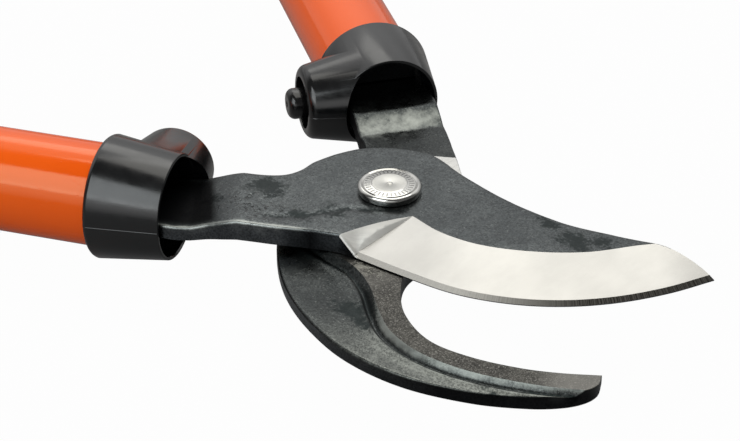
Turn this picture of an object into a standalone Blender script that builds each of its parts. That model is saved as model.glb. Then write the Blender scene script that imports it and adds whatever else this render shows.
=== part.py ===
# Bypass lopper: a forged cutting blade shears past a hooked counter blade on one centre bolt,
# and each blade's tang sits in a painted steel tube handle.
# Metres, +Z up. The jaws point along +X and the handles spread towards -X.
# The origin is on the pivot axis, at the bolt's lower end.
from math import atan, cos, degrees, pi, radians, sin, sqrt

import bmesh
import bpy
from mathutils import Matrix, Vector
from mathutils.geometry import interpolate_bezier

MM = 0.001

# Fits
CLEARANCE = 0.3 * MM           # left between pieces that touch
SHEAR_GAP = 0.3 * MM           # between the two blades' flat faces

# Forged blades
PLATE = 6.0 * MM               # thickness of both blades and their tangs
EDGE_ROUND = 0.5 * MM          # rounding left by the forging dies
CURVE_STEP = 3.0 * MM          # spacing of the points on an outline's curved stretches
JOGGLE_RISE = PLATE / 2 + SHEAR_GAP / 2   # each tang steps over to the tube's axis
CUTTING_JOGGLE = (39.0 * MM, 53.3 * MM)   # start and end of the step, along the tube's axis
COUNTER_JOGGLE = (43.0 * MM, 51.0 * MM)
CUTTING_JOGGLE_LEAN = 0.26     # the step crosses this tang a little aslant
COUNTER_JOGGLE_LEAN = 0.0
JOGGLE_STEPS = 6

# Tube of each handle
HANDLE_ANGLE = radians(29.06)  # each handle from -X, as the photograph holds them
TUBE_OFFSET = 16.1 * MM        # tube axis outward of the pivot
TUBE_RADIUS = 15.0 * MM
TUBE_WALL = 1.2 * MM
TUBE_START = 71.0 * MM
TUBE_LENGTH = 588.0 * MM

# Tangs, measured along the tube from the pivot and across it
TANG_HALF_WIDTH = TUBE_RADIUS - 1.8 * MM
TANG_TAIL_HALF_WIDTH = TUBE_RADIUS - 4.0 * MM
TANG_SHOULDER = 62.0 * MM
TANG_TAIL_START = 67.0 * MM
TANG_END = 112.0 * MM

# Ground bevel of the cutting blade
EDGE_LAND = 0.25 * MM          # thickness left at the cutting edge
MICRO_WIDTH = 2.0 * MM
MICRO_HEIGHT = 0.9 * MM        # height of the grind where the small bevel starts
GRIND_STATIONS = 22
GRIND_OVERRUN = 0.6            # how far the cutters run past the ground face, as a share of it
PLUNGE_OVERRUN = 1.8
TIP_OVERRUN = 0.5

# Pivot
BOLT_RADIUS = 5.0 * MM
HEAD_RADIUS = 8.95 * MM
HEAD_HEIGHT = 2.7 * MM
HEAD_RIM = 1.3 * MM            # width of the rim round the ring band
HEAD_RIM_ROUND = 1.1 * MM
# The head's relief from the centre out to the rim: share of the radius, depth in millimetres
HEAD_RELIEF = [(0.0, 0.1), (0.065, 0.1), (0.12, 0.35), (0.17, 0.2), (0.627, 0.0), (0.667, 0.1),
               (0.706, 0.2), (0.96, 0.15), (1.0, 0.45)]
HEAD_RIM_DROP = 0.2 * MM       # the rim's top lies this far below the inner disc
BOLT_PROTRUSION = 2.0 * MM
THREAD_CHAMFER = 0.8 * MM
NUT_ACROSS_FLATS = 17.0 * MM
NUT_HEIGHT = 8.0 * MM
NUT_COLLAR = 1.6 * MM          # height of the lock nut's round collar
NUT_COLLAR_TAPER = 1.0 * MM
NUT_CHAMFER = 1.2 * MM
WASHER_RADIUS = 10.0 * MM
WASHER_THICKNESS = 1.5 * MM

# Facets round the turned pieces
TUBE_STEPS = 40
BOLT_STEPS = 36
BORE_STEPS = 32
SMALL_STEPS = 24
GRIP_STEPS = 22
EDGE_BREAK = 0.4 * MM          # chamfer on the turned and moulded edges

# Liner and cross pin that hold the tang in the tube
LINER_LENGTH = 46.0 * MM
PIN_RADIUS = 2.5 * MM
PIN_STATION = 75.8 * MM

# Collar with its side boss; stations are measured along the tube from the pivot
COLLAR_FRONT = 58.3 * MM
COLLAR_REAR = 80.5 * MM
COLLAR_FRONT_RADIUS = TUBE_RADIUS + 0.5 * MM
COLLAR_REAR_RADIUS = TUBE_RADIUS + 3.1 * MM
COLLAR_LIP = 1.1 * MM          # wall at the open front
COLLAR_WALL = 2.0 * MM         # end wall in front of the tube, slotted for the tang
COLLAR_RIM_ROUND = 1.0 * MM
BOSS_STATION = 67.2 * MM
BOSS_FACE = TUBE_RADIUS + 10.4 * MM    # end face, from the tube's axis
BOSS_RADIUS = 11.6 * MM
BOSS_ROUND = 2.8 * MM
BOSS_TAPER = 0.21              # radius gained for each unit towards the tube
RECESS_RADIUS = 8.0 * MM
RECESS_FLOOR = TUBE_RADIUS + 1.1 * MM

# Buffer
BUFFER_FLANGE = 3.0 * MM
BUFFER_RADIUS = 4.8 * MM
BUFFER_TIP = TUBE_RADIUS + 15.1 * MM
BUFFER_ROUND = 2.2 * MM
DIMPLE_RADIUS = 1.0 * MM
DIMPLE_FLOOR_RADIUS = 0.6 * MM
DIMPLE_DEPTH = 0.8 * MM

# Grip
GRIP_LENGTH = 165.0 * MM
GRIP_WALL = 2.4 * MM
GRIP_CAP = 5.0 * MM            # closed end beyond the tube
GRIP_FLARE = 3.2 * MM          # height of the guard lip at the front and the swell at the end
GRIP_END_ROUND = 5.0 * MM
GRIP_LIP = 2.5 * MM            # thickness of the guard lip
# Share of the flare against the distance in millimetres from the grip's end, and from its front
GRIP_SWELL = [(1.0, 12.0), (0.5, 21.0), (0.0, 30.0)]
GRIP_GUARD = [(0.0, 8.0), (0.45, 5.0)]
RIB_COUNT = 7
RIB_START = 38.0 * MM          # first rib from the grip's end
RIB_PITCH = 13.0 * MM
RIB_HEIGHT = 0.9 * MM
RIB_WIDTH = 6.0 * MM

# Heights, from the bolt's lower end
SHEAR_HEIGHT = (BOLT_PROTRUSION + NUT_HEIGHT + WASHER_THICKNESS + 2 * CLEARANCE
                + PLATE + SHEAR_GAP / 2)
BLADE_TOP = SHEAR_GAP / 2 + PLATE      # from here down, heights are from the shear plane
HEAD_BASE = BLADE_TOP + CLEARANCE
WASHER_TOP = -BLADE_TOP - CLEARANCE
NUT_TOP = WASHER_TOP - WASHER_THICKNESS - CLEARANCE
HOLE_RADIUS = BOLT_RADIUS + CLEARANCE
PIN_HOLE_RADIUS = PIN_RADIUS + CLEARANCE
PIN_HALF_LENGTH = sqrt(TUBE_RADIUS ** 2 - PIN_RADIUS ** 2) - CLEARANCE
TUBE_BORE = TUBE_RADIUS - TUBE_WALL
TUBE_END = TUBE_START + TUBE_LENGTH


def clear_scene():
    for obj in list(bpy.data.objects):
        bpy.data.objects.remove(obj, do_unlink=True)
    for name in ("Lopper", "Cutters"):
        bpy.context.scene.collection.children.link(bpy.data.collections.new(name))


def material(name, colour, roughness, metallic):
    mat = bpy.data.materials.new(name)
    mat.use_nodes = True
    shader = mat.node_tree.nodes["Principled BSDF"]
    shader.inputs["Base Color"].default_value = (*colour, 1.0)
    shader.inputs["Roughness"].default_value = roughness
    shader.inputs["Metallic"].default_value = metallic
    mat.diffuse_color = (*colour, 1.0)
    return mat


def add_object(name, data, parent, mat=None):
    """A piece goes in the lopper's collection; a shape without a material is a cutter."""
    obj = bpy.data.objects.new(name, data)
    bpy.data.collections["Lopper" if mat or data is None else "Cutters"].objects.link(obj)
    obj.parent = parent
    if mat:
        data.materials.append(mat)
    elif data:
        obj.hide_render = True
        obj.display_type = 'WIRE'
    return obj


def boolean(obj, operation, other):
    mod = obj.modifiers.new(other.name, 'BOOLEAN')
    mod.operation = operation
    mod.object = other
    mod.solver = 'EXACT'


def turned(name, profile, parent, mat=None, steps=TUBE_STEPS):
    """A profile of (radius, height) points, run down the outer side, turned about Z."""
    mesh = bpy.data.meshes.new(name)
    closed = profile[0][0] > 0
    edges = [(i, i + 1) for i in range(len(profile) - 1)]
    if closed:
        edges.append((len(profile) - 1, 0))
    mesh.from_pydata([(radius, 0, height) for radius, height in profile], edges, [])
    obj = add_object(name, mesh, parent, mat)
    screw = obj.modifiers.new("Turn", 'SCREW')
    screw.steps = screw.render_steps = steps
    screw.use_merge_vertices = True
    screw.merge_threshold = 0.00001
    screw.use_smooth_shade = True
    return obj


def arc(centre, radius, start, end, steps):
    """Points of an arc in (radius, height), angles in degrees from the outward direction."""
    angles = [radians(start + (end - start) * i / steps) for i in range(steps + 1)]
    return [(centre[0] + radius * cos(a), centre[1] + radius * sin(a)) for a in angles]


def cylinder(name, radius, low, high, parent, mat=None, steps=TUBE_STEPS):
    return turned(name, [(0, high), (radius, high), (radius, low), (0, low)], parent, mat, steps)


def box(name, size, centre, parent):
    mesh = bpy.data.meshes.new(name)
    bm = bmesh.new()
    bmesh.ops.create_cube(bm, size=1, matrix=Matrix.Translation(centre) @ Matrix.Diagonal((*size, 1)))
    bm.to_mesh(mesh)
    bm.free()
    return add_object(name, mesh, parent)


def smooth(points, step=CURVE_STEP):
    """Points along a smooth curve through the given ones, about one step apart."""
    knots = [Vector(p) for p in points]
    last = len(knots) - 1
    tangents = [(knots[min(i + 1, last)] - knots[max(i - 1, 0)]).normalized() for i in range(last + 1)]
    path = [knots[0]]
    for i in range(last):
        chord = (knots[i + 1] - knots[i]).length
        reach = chord / 3
        count = max(2, round(chord / step) + 1)
        path += interpolate_bezier(knots[i], knots[i] + tangents[i] * reach,
                                   knots[i + 1] - tangents[i + 1] * reach, knots[i + 1], count)[1:]
    return path


def along(path, count):
    """Evenly spaced points along a path."""
    lengths = [0.0]
    for a, b in zip(path, path[1:]):
        lengths.append(lengths[-1] + (b - a).length)
    result = []
    j = 0
    for i in range(count):
        target = lengths[-1] * i / (count - 1)
        while j < len(path) - 2 and lengths[j + 1] < target:
            j += 1
        share = (target - lengths[j]) / (lengths[j + 1] - lengths[j])
        result.append(path[j].lerp(path[j + 1], share))
    return result


def inset(path, width):
    """A line beside a path, to the left of its run."""
    result = []
    for i, point in enumerate(path):
        run = (path[min(i + 1, len(path) - 1)] - path[max(i - 1, 0)]).normalized()
        result.append(point + Vector((-run.y, run.x)) * width)
    return result


def handle_axes(side):
    """Unit vectors along a handle away from the pivot, and across it to the other handle."""
    return (Vector((-cos(HANDLE_ANGLE), side * sin(HANDLE_ANGLE), 0)),
            Vector((-sin(HANDLE_ANGLE), -side * cos(HANDLE_ANGLE), 0)))


def on_handle(side, points):
    """Points given in millimetres along and across a handle, as plane points."""
    outward, inward = handle_axes(side)
    return [((outward * s + inward * t) * MM).to_2d() for s, t in points]


def plane_points(points):
    return [Vector(p) * MM for p in points]


def tang_tail(side):
    """The straight end of a tang, from its outer to its inner edge."""
    outward, inward = handle_axes(side)
    rim = [(TANG_SHOULDER, -TANG_HALF_WIDTH), (TANG_TAIL_START, -TANG_TAIL_HALF_WIDTH),
           (TANG_END, -TANG_TAIL_HALF_WIDTH), (TANG_END, TANG_TAIL_HALF_WIDTH),
           (TANG_TAIL_START, TANG_TAIL_HALF_WIDTH), (TANG_SHOULDER, TANG_HALF_WIDTH)]
    return [(outward * s + inward * (t - TUBE_OFFSET)).to_2d() for s, t in rim]


def plate(name, outline, low, high, parent, mat):
    """A forged plate with rounded edges, from its outline."""
    curve = bpy.data.curves.new(name, 'CURVE')
    curve.dimensions = '2D'
    curve.fill_mode = 'BOTH'
    curve.extrude = (high - low) / 2 - EDGE_ROUND
    curve.bevel_depth = EDGE_ROUND
    curve.bevel_resolution = 1
    curve.offset = -EDGE_ROUND
    spline = curve.splines.new('POLY')
    spline.points.add(len(outline) - 1)
    for point, corner in zip(spline.points, outline):
        point.co = (corner.x, corner.y, 0, 1)
    spline.use_cyclic_u = True
    guide = bpy.data.objects.new(name + "_outline", curve)
    bpy.data.collections["Cutters"].objects.link(guide)
    guide.location.z = (low + high) / 2
    bpy.context.view_layer.update()
    flat = bpy.data.meshes.new_from_object(guide.evaluated_get(bpy.context.evaluated_depsgraph_get()))
    flat.transform(guide.matrix_world)
    bpy.data.objects.remove(guide)
    bm = bmesh.new()
    bm.from_mesh(flat)
    bmesh.ops.remove_doubles(bm, verts=bm.verts, dist=0.00001)
    bm.to_mesh(flat)
    bm.free()
    flat.name = name
    return add_object(name, flat, parent, mat)


def trim(obj, height, keep):
    """Grind a plate flat at a height, keeping what lies above (1) or below (-1)."""
    bm = bmesh.new()
    bm.from_mesh(obj.data)
    bmesh.ops.bisect_plane(bm, geom=bm.verts[:] + bm.edges[:] + bm.faces[:], dist=0.0000001,
                           plane_co=(0, 0, height), plane_no=(0, 0, keep), clear_inner=True)
    rim = [edge for edge in bm.edges if edge.is_boundary]
    bmesh.ops.holes_fill(bm, edges=rim)
    bm.to_mesh(obj.data)
    bm.free()


def joggle(obj, side, span, lean, rise):
    """Step a tang over in height between two stations along its handle."""
    start, end = span
    outward, inward = handle_axes(side)
    run = outward - inward * lean
    on_axis = lean * TUBE_OFFSET
    bm = bmesh.new()
    bm.from_mesh(obj.data)
    for i in range(JOGGLE_STEPS + 1):
        station = start + (end - start) * i / JOGGLE_STEPS
        bmesh.ops.bisect_plane(bm, geom=bm.verts[:] + bm.edges[:] + bm.faces[:], dist=0.0000001,
                               plane_co=outward * (station + on_axis), plane_no=run)
    for vert in bm.verts:
        share = min(max((vert.co.dot(run) - on_axis - start) / (end - start), 0), 1)
        vert.co.z += rise * share * share * (3 - 2 * share)
    bm.to_mesh(obj.data)
    bm.free()


def loft(name, sections, parent):
    """A closed cutter through equal-sized rings of points."""
    mesh = bpy.data.meshes.new(name)
    size = len(sections[0])
    verts = [point for ring in sections for point in ring]
    faces = [tuple(range(size))[::-1], tuple(range(len(verts) - size, len(verts)))]
    for k in range(len(sections) - 1):
        for i in range(size):
            j = (i + 1) % size
            faces.append((k * size + i, k * size + j, (k + 1) * size + j, (k + 1) * size + i))
    mesh.from_pydata(verts, [], faces)
    bm = bmesh.new()
    bm.from_mesh(mesh)
    bmesh.ops.recalc_face_normals(bm, faces=bm.faces)
    bmesh.ops.triangulate(bm, faces=bm.faces)
    bm.to_mesh(mesh)
    bm.free()
    return add_object(name, mesh, parent)


# Outlines in millimetres, seen from above at the shear plane. The tangs' stretches are given
# along and across their handle, the rest in X and Y.
CUTTING_NECK = [(54.3, -2.2), (45.0, -1.8), (37.0, -1.2), (31.5, 0.5), (27.9, 4.4), (25.6, 9.8)]
CUTTING_BACK = [(-25.7, 5.0), (-22.2, 12.9), (-15.3, 19.4), (-5.8, 23.4), (8.0, 21.7),
                (26.2, 20.8), (44.5, 22.9), (59.4, 28.3), (70.7, 33.7), (77.0, 36.0), (83.0, 37.2),
                (87.6, 37.4)]
CUTTING_EDGE = [(87.6, 37.4), (83.0, 23.4), (76.0, 9.6), (67.1, -1.9), (56.2, -11.1),
                (42.9, -18.0), (26.5, -22.0), (11.5, -24.7)]
CUTTING_HEEL = [(6.4, -26.0), (0.3, -29.7), (-9.6, -36.5)]
CUTTING_TANG = [(26.0, -27.2), (39.0, -27.9), (46.0, -27.6), (54.0, -29.2)]
GRIND_TOP = [(14.0, -4.7), (25.1, -5.1), (37.3, -1.9), (49.8, 6.1), (60.1, 16.4), (67.5, 28.8),
             (70.7, 33.7), (74.0, 39.6), (77.0, 46.0)]
PLUNGE_CORNER = (6.6, -26.1)

COUNTER_NECK = [(54.0, -2.8), (44.0, -2.6), (36.6, -2.5), (30.0, 0.5)]
COUNTER_BACK = [(-23.0, 4.0), (-24.0, -6.0), (-21.0, -17.0), (-15.7, -28.0), (-6.9, -37.0),
                (6.2, -45.9), (21.2, -51.8), (38.5, -54.7), (57.1, -52.4), (74.7, -44.7),
                (87.2, -35.8), (93.4, -29.6), (96.3, -24.8), (97.0, -20.8), (94.9, -17.1)]
COUNTER_ANVIL = [(94.9, -17.1), (86.7, -24.0), (78.0, -29.8), (65.6, -35.4), (53.3, -37.7),
                 (40.8, -34.0), (32.1, -27.2), (25.6, -18.5), (24.0, -8.0), (25.0, 2.0), (22.6, 13.6),
                 (14.0, 22.0), (2.0, 28.4)]
COUNTER_TANG = [(13.6, -25.7), (24.0, -27.1), (38.0, -28.6), (54.0, -29.4)]

# The step down from the anvil strip to the hook's outer land: the strip's outer line, a line
# past the hook's outer edge, and for each station the valley's distance and depth.
STRIP_LINE = [(-22.0, -17.0), (-9.0, -25.8), (3.0, -27.2), (14.0, -27.4), (24.0, -31.1),
              (33.8, -37.3), (43.0, -41.9), (55.3, -43.4), (70.1, -40.1), (86.7, -31.8),
              (100.0, -22.0)]
OUTER_LINE = [(-34.0, -24.0), (-20.0, -38.0), (-8.0, -48.0), (5.0, -54.0), (17.0, -58.0),
              (31.0, -60.5), (44.0, -61.0), (60.0, -58.0), (80.0, -48.0), (97.0, -36.0),
              (108.0, -24.0)]
VALLEY = [(2.0, 1.6), (2.0, 1.6), (2.0, 1.6), (1.8, 1.7), (2.0, 2.2), (2.3, 2.4),
          (2.0, 2.0), (2.0, 1.8), (1.9, 1.7), (1.6, 1.6), (1.3, 1.5)]
VALLEY_FLOOR = 0.5             # width of the valley's floor
RIDGE_DISTANCE = 1.5           # from the valley's floor to the ridge, then to the land
LAND_DISTANCE = 3.3
RIDGE_DEPTH = 1.1
LAND_DEPTH = 1.6
STEP_SPACING = 3.2 * MM


def blend(values, share):
    """A value read along a list of stations, at a share of its length."""
    place = share * (len(values) - 1)
    i = min(int(place), len(values) - 2)
    return values[i] + (values[i + 1] - values[i]) * (place - i)


def grind_cutter(name, top_line, edge_line, top, base, parent, plunge=None):
    """What a grind takes off: a ruled face from a line on the blade down to its edge. Its
    first end is upright, or slopes down from the line between the top line and a corner."""
    rings = []
    for upper, lower in zip(top_line, edge_line):
        high = Vector((*upper, top))
        low = Vector((*lower, base))
        rise = (high - low) * GRIND_OVERRUN
        rings.append([high + rise, low - rise, Vector((*(low - rise).to_2d(), (high + rise).z))])
    if plunge:
        rings[0][2] = rings[0][0] + Vector((*(plunge - top_line[0]), 0)) * PLUNGE_OVERRUN
    rings.append([point + (point - before) * TIP_OVERRUN
                  for point, before in zip(rings[-1], rings[-2])])
    return loft(name, rings, parent)


def bolt_hole(name, parent):
    return cylinder(name, HOLE_RADIUS, -3 * PLATE, 3 * PLATE, parent, steps=BORE_STEPS)


def build_cutting_blade(parent, mat):
    outline = (smooth(on_handle(-1, CUTTING_NECK) + plane_points(CUTTING_BACK))
               + smooth(plane_points(CUTTING_EDGE))[1:]
               + smooth(plane_points(CUTTING_HEEL) + on_handle(-1, CUTTING_TANG))
               + tang_tail(-1))
    blade = plate("cutting_blade", outline, -BLADE_TOP / 2, BLADE_TOP, parent, mat)
    trim(blade, SHEAR_GAP / 2, 1)
    joggle(blade, -1, CUTTING_JOGGLE, CUTTING_JOGGLE_LEAN, -JOGGLE_RISE)
    base = SHEAR_GAP / 2
    edge = along(smooth(plane_points(CUTTING_EDGE[::-1])), GRIND_STATIONS)
    top = along(smooth(plane_points(GRIND_TOP)), GRIND_STATIONS)
    inner = inset(edge, MICRO_WIDTH)
    boolean(blade, 'DIFFERENCE',
            grind_cutter("main_grind", top, inner, BLADE_TOP, base + MICRO_HEIGHT, parent,
                         Vector(PLUNGE_CORNER) * MM))
    boolean(blade, 'DIFFERENCE',
            grind_cutter("micro_grind", inner, edge, base + MICRO_HEIGHT, base + EDGE_LAND, parent))
    boolean(blade, 'DIFFERENCE', bolt_hole("cutting_blade_bore", parent))
    return blade


def step_cutter(parent):
    """The step from the anvil strip down to the land, with the valley between."""
    strip = smooth(plane_points(STRIP_LINE), STEP_SPACING)
    outer = along(smooth(plane_points(OUTER_LINE), STEP_SPACING), len(strip))
    strip = along(strip, len(strip))
    rings = []
    for k, (start, end) in enumerate(zip(strip, outer)):
        share = k / (len(strip) - 1)
        distance = blend([v[0] for v in VALLEY], share)
        depth = blend([v[1] for v in VALLEY], share)
        outward = (end - start).normalized()
        reach = (end - start).length / MM
        section = [(-distance, depth), (distance, -depth), (distance + VALLEY_FLOOR, -depth),
                   (distance + RIDGE_DISTANCE, -RIDGE_DEPTH),
                   (distance + LAND_DISTANCE, -LAND_DEPTH), (reach, -LAND_DEPTH),
                   (reach, 2 * PLATE / MM), (-distance, 2 * PLATE / MM)]
        rings.append([Vector((*(start + outward * u * MM), -SHEAR_GAP / 2 + z * MM))
                      for u, z in section])
    return loft("hook_step", rings, parent)


def build_counter_blade(parent, mat):
    outline = (smooth(on_handle(1, COUNTER_NECK) + plane_points(COUNTER_BACK))
               + smooth(plane_points(COUNTER_ANVIL) + on_handle(1, COUNTER_TANG))[1:]
               + tang_tail(1))
    hook = plate("counter_blade", outline, -BLADE_TOP, BLADE_TOP / 2, parent, mat)
    trim(hook, -SHEAR_GAP / 2, -1)
    joggle(hook, 1, COUNTER_JOGGLE, COUNTER_JOGGLE_LEAN, JOGGLE_RISE)
    boolean(hook, 'DIFFERENCE', step_cutter(parent))
    boolean(hook, 'DIFFERENCE', bolt_hole("counter_blade_bore", parent))
    return hook


def build_bolt(parent, mat):
    """Centre bolt: wide head with a rounded rim, a dished ring band and a centre mark."""
    top = HEAD_BASE + HEAD_HEIGHT
    tip = -SHEAR_HEIGHT
    band = HEAD_RADIUS - HEAD_RIM
    rim = HEAD_RIM_ROUND
    profile = [(share * band, top - depth * MM) for share, depth in HEAD_RELIEF]
    profile += arc((HEAD_RADIUS - rim, top - HEAD_RIM_DROP - rim), rim, 90, 0, 3)
    profile += [(HEAD_RADIUS, HEAD_BASE + EDGE_BREAK), (HEAD_RADIUS - EDGE_BREAK, HEAD_BASE),
                (BOLT_RADIUS, HEAD_BASE), (BOLT_RADIUS, tip + THREAD_CHAMFER),
                (BOLT_RADIUS - THREAD_CHAMFER, tip), (0, tip)]
    return turned("pivot_bolt", profile, parent, mat, BOLT_STEPS)


def build_washer(parent, mat):
    low = WASHER_TOP - WASHER_THICKNESS
    profile = [(HOLE_RADIUS, WASHER_TOP), (WASHER_RADIUS - EDGE_BREAK, WASHER_TOP),
               (WASHER_RADIUS, WASHER_TOP - EDGE_BREAK), (WASHER_RADIUS, low + EDGE_BREAK),
               (WASHER_RADIUS - EDGE_BREAK, low), (HOLE_RADIUS, low)]
    return turned("pivot_washer", profile, parent, mat, SMALL_STEPS)


def build_nut(parent, mat):
    """Lock nut: chamfered hexagon with a round collar at its lower end."""
    low = NUT_TOP - NUT_HEIGHT
    collar = low + NUT_COLLAR
    corner = NUT_ACROSS_FLATS / sqrt(3)
    collar_radius = NUT_ACROSS_FLATS / 2 - NUT_CHAMFER
    profile = [(HOLE_RADIUS, NUT_TOP), (corner - NUT_CHAMFER, NUT_TOP),
               (corner, NUT_TOP - NUT_CHAMFER / 2), (corner, collar + NUT_CHAMFER / 2),
               (corner - NUT_CHAMFER, collar), (collar_radius, collar),
               (collar_radius - NUT_COLLAR_TAPER, low), (HOLE_RADIUS, low)]
    nut = turned("pivot_nut", profile, parent, mat, BOLT_STEPS)
    hexagon = cylinder("nut_hexagon", corner, low - MM, NUT_TOP + MM, parent, steps=6)
    boolean(nut, 'INTERSECT', hexagon)
    return nut


def build_tube(name, frame, mat):
    profile = [(TUBE_BORE, TUBE_END), (TUBE_RADIUS, TUBE_END), (TUBE_RADIUS, TUBE_START),
               (TUBE_BORE, TUBE_START)]
    return turned(name, profile, frame, mat)


def cross_hole(name, frame):
    hole = cylinder(name, PIN_HOLE_RADIUS, -2 * TUBE_RADIUS, 2 * TUBE_RADIUS, frame,
                    steps=SMALL_STEPS)
    hole.location.z = PIN_STATION
    hole.rotation_euler.x = pi / 2
    return hole


def build_pin(name, frame, mat):
    half = PIN_HALF_LENGTH
    profile = [(0, half), (PIN_RADIUS - EDGE_BREAK, half), (PIN_RADIUS, half - EDGE_BREAK),
               (PIN_RADIUS, EDGE_BREAK - half), (PIN_RADIUS - EDGE_BREAK, -half), (0, -half)]
    pin = turned(name, profile, frame, mat, SMALL_STEPS)
    pin.location.z = PIN_STATION
    pin.rotation_euler.x = pi / 2
    return pin


def build_liner(name, frame, mat):
    """Round liner inside the tube, slotted for the flat tang."""
    liner = cylinder(name, TUBE_BORE - CLEARANCE, TUBE_START, TUBE_START + LINER_LENGTH, frame,
                     mat, BORE_STEPS)
    slot_end = TANG_END + CLEARANCE
    slot_start = TUBE_START - PLATE
    size = (2 * (TANG_TAIL_HALF_WIDTH + CLEARANCE), PLATE + 2 * CLEARANCE, slot_end - slot_start)
    slot = box(name + "_slot", size, (0, 0, (slot_end + slot_start) / 2), frame)
    boolean(liner, 'DIFFERENCE', slot)
    return liner


def build_collar(name, frame, mat):
    """Moulded collar: a cup round the tang, a socket on the tube and a boss for the buffer."""
    slope = (COLLAR_REAR_RADIUS - COLLAR_FRONT_RADIUS) / (COLLAR_REAR - COLLAR_FRONT)
    rim = COLLAR_RIM_ROUND
    profile = [(0, COLLAR_REAR)]
    profile += arc((COLLAR_REAR_RADIUS - rim, COLLAR_REAR - rim), rim, 90, 0, 4)
    profile += [(COLLAR_FRONT_RADIUS + slope * EDGE_BREAK, COLLAR_FRONT + EDGE_BREAK),
                (COLLAR_FRONT_RADIUS - EDGE_BREAK, COLLAR_FRONT), (0, COLLAR_FRONT)]
    collar = turned(name, profile, frame, mat)

    taper_start = BOSS_FACE - BOSS_ROUND
    profile = [(0, BOSS_FACE)]
    profile += arc((BOSS_RADIUS - BOSS_ROUND, taper_start), BOSS_ROUND, 90,
                   degrees(atan(BOSS_TAPER)), 5)
    profile += [(BOSS_RADIUS + BOSS_TAPER * taper_start, 0), (0, 0)]
    boss = turned(name + "_boss", profile, frame, steps=BORE_STEPS)
    boss.location.z = BOSS_STATION
    boss.rotation_euler.y = pi / 2
    boolean(collar, 'UNION', boss)

    rear = box(name + "_rear_cut", (8 * TUBE_RADIUS, 8 * TUBE_RADIUS, TUBE_RADIUS),
               (0, 0, COLLAR_REAR + TUBE_RADIUS / 2), frame)
    boolean(collar, 'DIFFERENCE', rear)

    socket = TUBE_RADIUS + CLEARANCE
    mouth = COLLAR_FRONT_RADIUS - COLLAR_LIP
    stop = TUBE_START - CLEARANCE
    cutters = [
        cylinder(name + "_socket", socket, stop, COLLAR_REAR + TUBE_WALL, frame),
        cylinder(name + "_mouth", mouth, COLLAR_FRONT - TUBE_RADIUS, stop - COLLAR_WALL, frame),
        box(name + "_slot", (2 * (TANG_TAIL_HALF_WIDTH + CLEARANCE), PLATE + 2 * CLEARANCE, PLATE),
            (0, 0, stop - COLLAR_WALL / 2), frame)]
    for cutter in cutters:
        boolean(collar, 'DIFFERENCE', cutter)

    recess = cylinder(name + "_recess", RECESS_RADIUS, RECESS_FLOOR, BOSS_FACE + MM, frame,
                      steps=BORE_STEPS)
    recess.location.z = BOSS_STATION
    recess.rotation_euler.y = pi / 2
    boolean(collar, 'DIFFERENCE', recess)
    return collar


def build_buffer(name, frame, mat):
    """Rubber buffer: a flange seated in the boss and a stem with a rounded, dimpled tip."""
    base = RECESS_FLOOR + CLEARANCE
    top = base + BUFFER_FLANGE
    flange = RECESS_RADIUS - CLEARANCE
    dimple = BUFFER_TIP - DIMPLE_DEPTH
    profile = [(0, dimple), (DIMPLE_FLOOR_RADIUS, dimple), (DIMPLE_RADIUS, BUFFER_TIP)]
    profile += arc((BUFFER_RADIUS - BUFFER_ROUND, BUFFER_TIP - BUFFER_ROUND), BUFFER_ROUND, 90, 0, 5)
    profile += [(BUFFER_RADIUS, top), (flange - EDGE_BREAK, top), (flange, top - EDGE_BREAK),
                (flange, base), (0, base)]
    buffer = turned(name, profile, frame, mat, SMALL_STEPS)
    buffer.location.z = BOSS_STATION
    buffer.rotation_euler.y = pi / 2
    return buffer


def build_grip(name, frame, mat):
    """Slip-on grip: guard lip, ribbed middle and a swelling closed end."""
    bore = (TUBE_RADIUS + CLEARANCE) / cos(pi / GRIP_STEPS)
    outer = bore + GRIP_WALL
    flare = outer + GRIP_FLARE
    tube_end = TUBE_END + CLEARANCE
    end = tube_end + GRIP_CAP
    front = end - GRIP_LENGTH
    lip = GRIP_LIP / 2
    profile = [(0, end)]
    profile += arc((flare - GRIP_END_ROUND, end - GRIP_END_ROUND), GRIP_END_ROUND, 90, 0, 3)
    profile += [(outer + share * GRIP_FLARE, end - down * MM) for share, down in GRIP_SWELL]
    for i in range(RIB_COUNT):
        middle = end - RIB_START - i * RIB_PITCH
        profile += [(outer, middle + RIB_WIDTH / 2), (outer + RIB_HEIGHT, middle),
                    (outer, middle - RIB_WIDTH / 2)]
    profile += [(outer + share * GRIP_FLARE, front + up * MM) for share, up in GRIP_GUARD]
    profile += arc((flare - lip, front + lip), lip, 80, -90, 3)
    profile += [(bore, front), (bore, tube_end), (0, tube_end)]
    return turned(name, profile, frame, mat, GRIP_STEPS)


def build_handle(side, word, blade, parent, mats):
    """Everything on one tang: liner, tube, cross pin, collar, buffer and grip."""
    outward, inward = handle_axes(side)
    upward = outward.cross(inward)
    frame = add_object(word + "_tube_axis", None, parent)
    frame.matrix_local = Matrix.Translation(inward * -TUBE_OFFSET) @ Matrix(
        (inward, upward, outward)).transposed().to_4x4()
    tube = build_tube(word + "_handle_tube", frame, mats["paint"])
    liner = build_liner(word + "_tang_liner", frame, mats["nylon"])
    build_pin(word + "_tang_pin", frame, mats["steel"])
    build_collar(word + "_collar", frame, mats["plastic"])
    build_buffer(word + "_buffer", frame, mats["rubber"])
    build_grip(word + "_grip", frame, mats["vinyl"])
    hole = cross_hole(word + "_cross_hole", frame)
    for piece in (tube, liner, blade):
        boolean(piece, 'DIFFERENCE', hole)


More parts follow.
